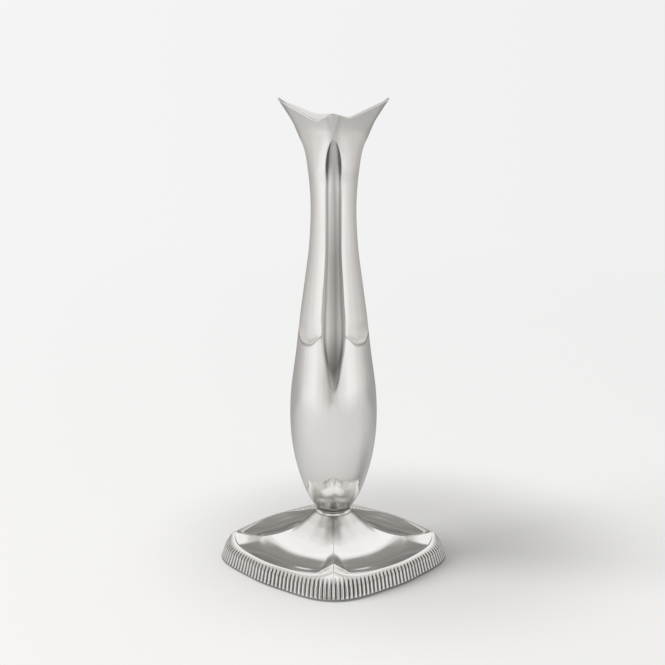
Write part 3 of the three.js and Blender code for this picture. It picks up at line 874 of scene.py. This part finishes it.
def sum_of(tree, operation, first, second=0):
    node = add_node(tree, "ShaderNodeMath", operation=operation)
    feed(tree, first, node.inputs[0])
    feed(tree, second, node.inputs[1])
    return node.outputs[0]


def ranged(tree, value, start, end, low=0, high=1, shape="LINEAR"):
    """Stretches start to end over low to high, and holds the ends."""
    node = add_node(tree, "ShaderNodeMapRange", interpolation_type=shape)
    feed_named(tree, node, {
        "Value": value, "From Min": start, "From Max": end, "To Min": low, "To Max": high,
    })
    return node.outputs["Result"]


def blend_of(tree, share, first, second):
    """Blend of two colours or greys by a share, on the colour sockets of a mix node."""
    node = add_node(tree, "ShaderNodeMix", data_type="RGBA")
    feed(tree, share, node.inputs["Factor"])
    for place, value in ((MIX_FIRST, first), (MIX_SECOND, second)):
        colour = (value, value, value, 1) if isinstance(value, (int, float)) else value
        feed(tree, colour, node.inputs[place])
    return node.outputs[MIX_RESULT]


print("node tools ready")

# %% Tools for materials
def noise_on(tree, place, scale, stretch=(1, 1, 1), turn=(0, 0, 0), detail=3):
    mapping = add_node(tree, "ShaderNodeMapping")
    feed_named(tree, mapping, {"Vector": place, "Scale": stretch, "Rotation": turn})
    noise = add_node(tree, "ShaderNodeTexNoise")
    feed_named(tree, noise, {"Vector": mapping.outputs["Vector"], "Scale": scale, "Detail": detail})
    return noise.outputs["Fac"]


def new_material(name):
    material = bpy.data.materials.new(name)
    material.use_nodes = True
    return material, material.node_tree, material.node_tree.nodes["Principled BSDF"]


def add_bump(tree, shader, height, depth):
    bump = add_node(tree, "ShaderNodeBump")
    feed_named(tree, bump, {"Strength": 1, "Distance": depth, "Height": height})
    feed(tree, bump.outputs["Normal"], shader.inputs["Normal"])


def put_on(material, *names):
    """Gives CAD nodes this material in place of their own."""
    for name in names:
        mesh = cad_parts[name].data
        mesh.materials.clear()
        mesh.materials.append(material)


print("material tools ready")

# %% [markdown]
# ## Fine scratches
# Every metal here has been rubbed: silver with a cloth, brass and steel with a file. Hair-fine scratches
# cross each other in two directions, over a slow change from clear to hazy. All three metals share them, so
# they are one node group with its own scale, and each metal decides how deep they go.

# %% Group: fine scratches
SCRATCH_DIRECTIONS = (((1, 18, 3), (0.3, 0.2, 0.5)), ((14, 1, 22), (0.9, 0.4, 1.2)))
HAZE_SHARE = 0.12

scratch_group = bpy.data.node_groups.new("fine_scratches", "ShaderNodeTree")
for name, side in (("Scale", "INPUT"), ("Haze", "OUTPUT"), ("Scratches", "OUTPUT")):
    scratch_group.interface.new_socket(name, in_out=side, socket_type="NodeSocketFloat")
group_in = add_node(scratch_group, "NodeGroupInput")
group_out = add_node(scratch_group, "NodeGroupOutput")
group_place = add_node(scratch_group, "ShaderNodeTexCoord").outputs["Object"]
scale = group_in.outputs["Scale"]
crossing_lines = [noise_on(scratch_group, group_place, scale, *lines) for lines in SCRATCH_DIRECTIONS]
haze = noise_on(scratch_group, group_place, sum_of(scratch_group, "MULTIPLY", scale, HAZE_SHARE))
feed(scratch_group, sum_of(scratch_group, "MULTIPLY", *crossing_lines), group_out.inputs["Scratches"])
feed(scratch_group, haze, group_out.inputs["Haze"])


def add_scratches(tree, scale):
    node = add_node(tree, "ShaderNodeGroup", node_tree=scratch_group)
    feed(tree, scale, node.inputs["Scale"])
    return node.outputs["Haze"], node.outputs["Scratches"]


print("group made:", scratch_group.name)

# %% [markdown]
# ## Polished silver
# Silver is the palest of the metals, a little warm in its shadows. It is a mirror that is slightly soft: the
# haze makes it a touch rougher in places. Tarnish is a thin brown-black film, so it takes the colour down and
# spreads the gloss where the attribute marks tarnish. The same dark colour and gloss also paint shade and
# dark reflections where the attribute marks painted shade.

# %% Finish: polished silver
SILVER_COLOUR = (0.93, 0.918, 0.902, 1)
TARNISH_AND_SHADE_COLOUR = (0.055, 0.047, 0.038, 1)
SILVER_GLOSS = (0.035, 0.085)
HAZE_RANGE = (0.3, 0.7)
LEAST_STAIN_AND_SHADE = 0.75
TARNISH_ROUGHNESS = 0.22
SILVER_SCRATCHES, SILVER_SCRATCH_DEPTH = 160, 0.000004

silver, tree, shader = new_material("polished_silver")
haze, scratches = add_scratches(tree, SILVER_SCRATCHES)
# The attribute's darkening is tarnish and painted shade together
marks = add_node(tree, "ShaderNodeAttribute", attribute_name="tarnish_and_shade").outputs["Fac"]
patches = ranged(tree, haze, *HAZE_RANGE, LEAST_STAIN_AND_SHADE, 1)
stain_and_shade = sum_of(tree, "MULTIPLY", marks, patches)
colour = blend_of(tree, stain_and_shade, SILVER_COLOUR, TARNISH_AND_SHADE_COLOUR)
gloss = ranged(tree, haze, *HAZE_RANGE, *SILVER_GLOSS)
roughness = sum_of(tree, "ADD", gloss, sum_of(tree, "MULTIPLY", stain_and_shade, TARNISH_ROUGHNESS))
feed_named(tree, shader, {"Base Color": colour, "Metallic": 1, "Roughness": roughness})
add_bump(tree, shader, scratches, SILVER_SCRATCH_DEPTH)
for piece in silver_pieces:
    piece.data.materials.append(silver)
print("silver on", len(silver_pieces), "pieces")

# %% [markdown]
# ## Brass and steel
# The plug in the bulb and the plate under the foot are brass, left as they came off the lathe and the shears.
# The stud, its nut and washer are plain steel. Both are duller than the silver, with deeper scratches, and
# the brass has brown patches where it was handled.

# %% Finishes: turned brass and fastener steel
PATCH_RANGE, SCRATCH_RANGE = (0.35, 0.65), (0.1, 0.4)
FILED_DEPTH = 0.00003
BRASS_BRIGHT, BRASS_DULL = (0.60, 0.42, 0.17, 1), (0.36, 0.24, 0.10, 1)
STEEL_BRIGHT, STEEL_DULL = (0.42, 0.42, 0.43, 1), (0.25, 0.25, 0.26, 1)


def worked_metal(name, bright, dull, gloss, scale):
    material, tree, shader = new_material(name)
    haze, scratches = add_scratches(tree, scale)
    colour = blend_of(tree, ranged(tree, haze, *PATCH_RANGE), bright, dull)
    roughness = ranged(tree, scratches, *SCRATCH_RANGE, *gloss)
    feed_named(tree, shader, {"Base Color": colour, "Metallic": 1, "Roughness": roughness})
    add_bump(tree, shader, scratches, FILED_DEPTH)
    return material


brass = worked_metal("turned_brass", BRASS_BRIGHT, BRASS_DULL, gloss=(0.28, 0.48), scale=220)
steel = worked_metal("fastener_steel", STEEL_BRIGHT, STEEL_DULL, gloss=(0.35, 0.55), scale=320)
put_on(brass, "body_boss", "base_plate")
put_on(steel, "fixing_stud", "clamp_washer", "clamp_nut")
print("finishes made:", brass.name, "and", steel.name)

# %% [markdown]
# ## Filler and felt
# The weight inside the foot is cast plaster, chalky, with small air holes. The felt is pressed wool: short
# fibres lie in every direction, so a fine noise breaks up its green and a stronger one lifts its nap.

# %% Finishes: cast filler and felt
GRAIN_RANGE = (0.3, 0.7)
GRAINS_PER_CLOUD = 12
GRAIN_SHARE, CLOUD_SHARE = 0.6, 0.4
PLASTER_LIGHT, PLASTER_DARK = (0.60, 0.56, 0.48, 1), (0.42, 0.38, 0.31, 1)
FELT_LIGHT, FELT_DARK = (0.035, 0.055, 0.04, 1), (0.012, 0.02, 0.014, 1)


def soft_finish(name, light, dark, scale, stretch, depth, roughness, sheen):
    material, tree, shader = new_material(name)
    place = add_node(tree, "ShaderNodeTexCoord").outputs["Object"]
    grain = noise_on(tree, place, scale, stretch)
    clouds = noise_on(tree, place, scale / GRAINS_PER_CLOUD)
    shade = sum_of(tree, "MULTIPLY_ADD", grain, GRAIN_SHARE)
    feed(tree, sum_of(tree, "MULTIPLY", clouds, CLOUD_SHARE), shade.node.inputs[2])
    colour = blend_of(tree, ranged(tree, shade, *GRAIN_RANGE), dark, light)
    dullness = ranged(tree, grain, *GRAIN_RANGE, *roughness)
    feed_named(tree, shader, {"Base Color": colour, "Roughness": dullness, "Sheen Weight": sheen})
    add_bump(tree, shader, grain, depth)
    return material


filler = soft_finish(
    "cast_filler", PLASTER_LIGHT, PLASTER_DARK, scale=900, stretch=(1, 1, 1), depth=0.0002,
    roughness=(0.85, 0.95), sheen=0,
)
put_on(filler, "foot_filler")
felt_finish = soft_finish(
    "dark_felt", FELT_LIGHT, FELT_DARK, scale=1800, stretch=(1, 1.6, 1), depth=0.0003,
    roughness=(0.9, 1), sheen=0.3,
)
vase_felt.data.materials.append(felt_finish)
print("filler and felt finished")

# %% [markdown]
# ## Floor
# The vase stands on a pale sheet that fades into the backdrop, so no horizon shows. Lamps strong enough to
# make the sheet white would also wash out the metal, so the sheet is a mid grey that keeps the shadow, and a
# soft glow that the lens sees lifts it to the tone of the photograph. Towards the back the sheet is darker, a
# painted shade that metal reflects, and the glow is stronger there. The glow is weaker in a soft patch under
# the vase, a little to the right, as a painted shadow, and metal sees only a part of it.

# %% Lay the floor
FLOOR_RADIUS, FLOOR_STEPS = 1.2, 96
FLOOR_GAP = 0.0002

floor_shape = bmesh.new()
bmesh.ops.create_circle(floor_shape, cap_ends=True, radius=FLOOR_RADIUS, segments=FLOOR_STEPS)
bmesh.ops.translate(floor_shape, verts=floor_shape.verts[:], vec=(0, 0, -FLOOR_GAP))
floor = object_from("pale_floor", floor_shape)
print("floor: a disc of", 2 * FLOOR_RADIUS, "m")

# %% Finish: pale floor
# Darker sheet towards the back: a painted shade that the metal reflects, evened out for the lens by a
# stronger glow
FRONT_COLOUR, BACK_COLOUR = (0.423, 0.42, 0.416, 1), (0.19, 0.188, 0.186, 1)
FRONT_GLOW, BACK_GLOW = 0.285, 0.62
FRONT_END, BACK_START = -0.12, 0.22
# Weaker glow near the foot, a little to the right: a painted shadow on top of the key light's shadow
SHADED_REACH, CLEAR_REACH, SHADED_SHARE = 0.04, 0.15, 0.48
SHADE_PLACE = (0.035, 0.015, 0)
FRONT_MIRRORED, BACK_MIRRORED = 0.34, 0.2
FADE_START, FADE_END = 0.22, 1.15


def background_share(tree, share):
    """1 for what the lens sees, a part of that for what metal or glass shows, 0 for the rest."""
    path = add_node(tree, "ShaderNodeLightPath").outputs
    mirrored = sum_of(tree, "MAXIMUM", path["Is Glossy Ray"], path["Is Transmission Ray"])
    return sum_of(tree, "MAXIMUM", path["Is Camera Ray"], sum_of(tree, "MULTIPLY", mirrored, share))


def distance_from(tree, place, point):
    node = add_node(tree, "ShaderNodeVectorMath", operation="DISTANCE")
    feed(tree, place, node.inputs[0])
    feed(tree, point, node.inputs[1])
    return node.outputs["Value"]


floor_material, tree, shader = new_material("pale_floor")
tree.nodes.remove(shader)
sheet = add_node(tree, "ShaderNodeBsdfDiffuse")
floor_place = add_node(tree, "ShaderNodeTexCoord").outputs["Object"]
floor_axes = add_node(tree, "ShaderNodeSeparateXYZ")
feed(tree, floor_place, floor_axes.inputs[0])
backness = ranged(tree, floor_axes.outputs["Y"], FRONT_END, BACK_START, shape="SMOOTHSTEP")
feed(tree, blend_of(tree, backness, FRONT_COLOUR, BACK_COLOUR), sheet.inputs["Color"])
glow = add_node(tree, "ShaderNodeEmission")
strength = ranged(tree, backness, 0, 1, FRONT_GLOW, BACK_GLOW)
shade_reach = distance_from(tree, floor_place, SHADE_PLACE)
shaded = ranged(tree, shade_reach, SHADED_REACH, CLEAR_REACH, SHADED_SHARE, 1, "SMOOTHSTEP")
strength = sum_of(tree, "MULTIPLY", strength, shaded)
mirrored = ranged(tree, backness, 0, 1, FRONT_MIRRORED, BACK_MIRRORED)
strength = sum_of(tree, "MULTIPLY", strength, background_share(tree, mirrored))
feed(tree, strength, glow.inputs["Strength"])
lit = add_node(tree, "ShaderNodeAddShader")
feed(tree, sheet.outputs[0], lit.inputs[0])
feed(tree, glow.outputs[0], lit.inputs[1])
faded = add_node(tree, "ShaderNodeMixShader")
reach = distance_from(tree, floor_place, (0, 0, 0))
fade = ranged(tree, reach, FADE_START, FADE_END, shape="SMOOTHSTEP")
feed(tree, fade, faded.inputs["Fac"])
feed(tree, lit.outputs[0], faded.inputs[1])
feed(tree, add_node(tree, "ShaderNodeBsdfTransparent").outputs[0], faded.inputs[2])
feed(tree, faded.outputs[0], tree.nodes["Material Output"].inputs["Surface"])
floor.data.materials.append(floor_material)
print("floor faded out at", FADE_END, "m")

# %% [markdown]
# ## Room
# A mirror is only as good as what it reflects. The room is a soft studio, told as bands of grey at a few
# heights, each from the far wall behind the vase, past the sides, to the wall behind the lens. The tones were
# chosen until the metal showed what it shows in the photograph. Low down the far wall is dark and the side
# walls are bright. Higher up white panels stand beside the far wall and beside the lens, with dimmer gaps
# between them. Places and greys are in percent. The lens sees a plain pale backdrop, a little brighter on the
# left, and metal sees a part of it.

# %% Tones of the room
ROOM = (
    (-10, ((0, 8), (7, 10), (14, 19), (25, 35), (36, 45), (46, 58), (55, 72), (64, 90), (72, 96),
        (80, 86), (90, 68), (100, 56))),
    (-5, ((0, 8), (7, 10), (14, 19), (25, 34), (36, 46), (46, 60), (55, 74), (64, 88), (72, 92), (84, 78),
        (92, 62), (100, 44))),
    (6, ((0, 15), (7, 16), (14, 20), (25, 34), (36, 44), (46, 58), (55, 72), (64, 90), (72, 95), (80, 72),
        (90, 44), (100, 28))),
    (14, ((0, 25), (7, 27), (12, 44), (20, 48), (30, 54), (50, 60), (64, 70), (75, 58), (89, 38),
        (100, 28))),
    (24, ((0, 20), (7, 23), (12, 44), (20, 60), (30, 71), (42, 70), (50, 60), (58, 42), (66, 32),
        (76, 36), (85, 52), (92, 70), (100, 82))),
    (34, ((0, 24), (6, 26), (10, 85), (15, 96), (25, 90), (33, 84), (42, 78), (50, 66), (57, 48),
        (68, 44), (75, 72), (82, 94), (90, 95), (100, 80))),
    (45, ((0, 35), (5, 45), (9, 80), (13, 97), (25, 94), (33, 89), (42, 80), (50, 68), (56, 52), (64, 56),
        (70, 84), (78, 98), (86, 94), (100, 58))),
    (58, ((0, 55), (5, 60), (10, 92), (33, 92), (42, 80), (50, 66), (56, 58), (62, 60), (70, 72),
        (80, 84), (88, 70), (100, 46))),
    (68, ((0, 75), (40, 75), (55, 66), (64, 70), (76, 62), (86, 50), (100, 34))),
    (84, ((0, 62), (100, 56))),
)
PERCENT = 100
DIM_GREEN_LOSS, DIM_BLUE_LOSS = 0.055, 0.12


def wall_tone(percent):
    """Colour of a wall: white panels are neutral, dim walls a little warm."""
    grey = percent / PERCENT
    return grey, grey * (1 - DIM_GREEN_LOSS * (1 - grey)), grey * (1 - DIM_BLUE_LOSS * (1 - grey)), 1


def grey_band(tree, around, stops):
    """Greys at places round the room, from 0 behind the vase to 100 behind the lens."""
    ramp = add_node(tree, "ShaderNodeValToRGB")
    ramp.color_ramp.interpolation = "EASE"
    elements = ramp.color_ramp.elements
    elements[0].color, elements[1].color = wall_tone(stops[0][1]), wall_tone(stops[-1][1])
    for place, grey in stops[1:-1]:
        elements.new(place / PERCENT).color = wall_tone(grey)
    feed(tree, around, ramp.inputs["Fac"])
    return ramp.outputs["Color"]


print("bands of grey at", ", ".join(str(band) for band, _ in ROOM), "degrees")

# %% Light the room
BACKDROP_LEFT, BACKDROP_RIGHT, BACKDROP_REACH = 0.91, 0.87, 0.25
ROOM_TURN = -8
ROOM_MIRRORED = 0.06

world = bpy.data.worlds.new("studio")
scene.world = world
world.use_nodes = True
tree = world.node_tree
aim = add_node(tree, "ShaderNodeSeparateXYZ")
feed(tree, add_node(tree, "ShaderNodeTexCoord").outputs["Generated"], aim.inputs[0])
aim_x, aim_y, aim_z = aim.outputs
towards_lens = ranged(tree, aim_y, 1, -1)
turn = sum_of(tree, "MULTIPLY", towards_lens, math.radians(ROOM_TURN))
turned = sum_of(tree, "ADD", sum_of(tree, "ARCTAN2", aim_x, aim_y), turn)
around = sum_of(tree, "PINGPONG", sum_of(tree, "DIVIDE", turned, math.pi), 1)
rise = sum_of(tree, "MULTIPLY", sum_of(tree, "ARCSINE", aim_z), 180 / math.pi)
room = grey_band(tree, around, ROOM[0][1])
for (below, _), (above, stops) in zip(ROOM, ROOM[1:]):
    share = ranged(tree, rise, below, above, shape="SMOOTHSTEP")
    room = blend_of(tree, share, room, grey_band(tree, around, stops))
backdrop = ranged(tree, aim_x, -BACKDROP_REACH, BACKDROP_REACH, BACKDROP_LEFT, BACKDROP_RIGHT)
seen = blend_of(tree, background_share(tree, ROOM_MIRRORED), room, backdrop)
feed(tree, seen, tree.nodes["Background"].inputs["Color"])
print("room lit:", world.name)

# %% [markdown]
# ## Key light
# One soft lamp stands high on the left and lays the shadow to the right of the foot, as in the photograph. It
# only lights the floor: metal shows the room instead, because a lamp would leave a hard white spot in it.

# %% Hang the key light
KEY_SIZE, KEY_POWER = 2.8, 235
KEY_PLACE = (-3.2, -0.6, 2.2)

key_data = bpy.data.lights.new("key_light", "AREA")
key_data.shape = "DISK"
key_data.size = KEY_SIZE
key_data.energy = KEY_POWER
key = bpy.data.objects.new("key_light", key_data)
key.location = KEY_PLACE
key.rotation_euler = key.location.to_track_quat("Z", "Y").to_euler()
key.visible_glossy = False
scene.collection.objects.link(key)
print(f"key light: {key_data.energy} W")
